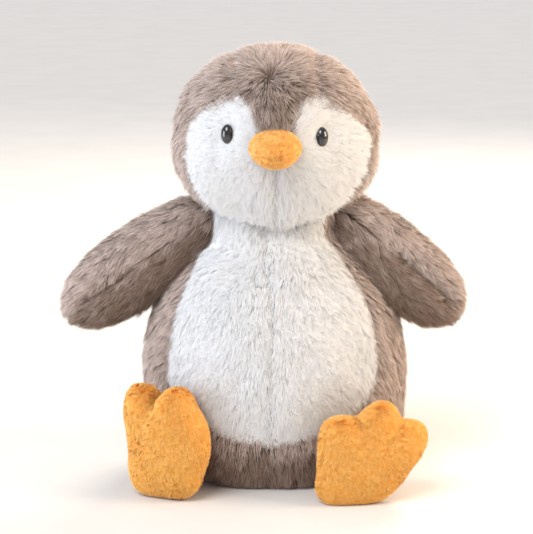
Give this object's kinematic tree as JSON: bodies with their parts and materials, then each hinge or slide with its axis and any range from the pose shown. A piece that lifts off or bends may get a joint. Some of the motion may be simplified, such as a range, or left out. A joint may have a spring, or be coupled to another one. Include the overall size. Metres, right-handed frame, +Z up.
{
  "type": "plush penguin",
  "caption": "Sitting plush penguin with a grey hood and back, white face and belly, glossy eyes, a soft beak, stuffed wings and webbed feet that flex at their seams.",
  "frame": {"origin": "middle of the flat seat, on the surface it sits on", "axes": "+Z up, the face and the soles look along -Y, +X is the penguin's own left"},
  "size_m": [0.2181, 0.1497, 0.2353],
  "materials": {
    "grey_pile": "long silky grey-brown pile, brushed downwards",
    "white_pile": "long silky white pile",
    "orange_plush": "short dense orange plush",
    "beak_plush": "short dense orange plush",
    "eye": "polished black",
    "washer": "moulded, matt",
    "stuffing": "loose polyester fibre",
    "pellet_cloth": "thin woven pouch of pellets",
    "ribbon": "blank satin ribbon"
  },
  "bodies": {
    "torso": {"base_panel": "grey_pile", "back_panel_left": "grey_pile", "back_panel_right": "grey_pile", "belly_panel_left": "white_pile", "belly_panel_right": "white_pile", "torso_stuffing": "stuffing", "pellet_pouch": "pellet_cloth", "care_label": "ribbon"},
    "neck": {"neck_stuffing": "stuffing"},
    "head": {"crown_gusset": "grey_pile", "hood_panel_left": "grey_pile", "hood_panel_right": "grey_pile", "face_panel_left": "white_pile", "face_panel_right": "white_pile", "head_stuffing": "stuffing", "beak_upper": "beak_plush", "beak_lower": "beak_plush", "beak_stuffing": "stuffing", "eye_left": "eye", "eye_right": "eye", "eye_washer_left": "washer", "eye_washer_right": "washer"},
    "wing_left": {"wing_left_front": "grey_pile", "wing_left_back": "grey_pile", "wing_left_stuffing": "stuffing"},
    "foot_left": {"foot_left_sole": "orange_plush", "foot_left_upper": "orange_plush", "foot_left_stuffing": "stuffing"},
    "wing_right": {"wing_right_front": "grey_pile", "wing_right_back": "grey_pile", "wing_right_stuffing": "stuffing"},
    "foot_right": {"foot_right_sole": "orange_plush", "foot_right_upper": "orange_plush", "foot_right_stuffing": "stuffing"}
  },
  "joints": [
    {"name": "head_turn", "type": "hinge", "parent": "torso", "child": "neck", "pos_m": [0, 0, 0.143], "axis": [0, 0, 1], "range_deg": [-30, 30], "stiffness_Nm_per_rad": 0.2},
    {"name": "head_nod", "type": "hinge", "parent": "neck", "child": "head", "pos_m": [0, 0, 0.143], "axis": [1, 0, 0], "range_deg": [-12, 12], "stiffness_Nm_per_rad": 0.4},
    {"name": "wing_left_swing", "type": "hinge", "parent": "torso", "child": "wing_left", "pos_m": [0.0562, -0.01, 0.112], "axis": [0.5255, 0, -0.8508], "range_deg": [-35, 60], "stiffness_Nm_per_rad": 0.04},
    {"name": "wing_right_swing", "type": "hinge", "parent": "torso", "child": "wing_right", "pos_m": [-0.0562, -0.01, 0.112], "axis": [0.5255, 0, 0.8508], "range_deg": [-35, 60], "stiffness_Nm_per_rad": 0.04},
    {"name": "foot_left_bend", "type": "hinge", "parent": "torso", "child": "foot_left", "pos_m": [0.0405, -0.0715, 0.016], "axis": [0.9962, 0.0872, 0], "range_deg": [-8, 35], "stiffness_Nm_per_rad": 0.05},
    {"name": "foot_right_bend", "type": "hinge", "parent": "torso", "child": "foot_right", "pos_m": [-0.0565, -0.0625, 0.016], "axis": [0.8829, -0.4695, 0], "range_deg": [-8, 35], "stiffness_Nm_per_rad": 0.05}
  ]
}
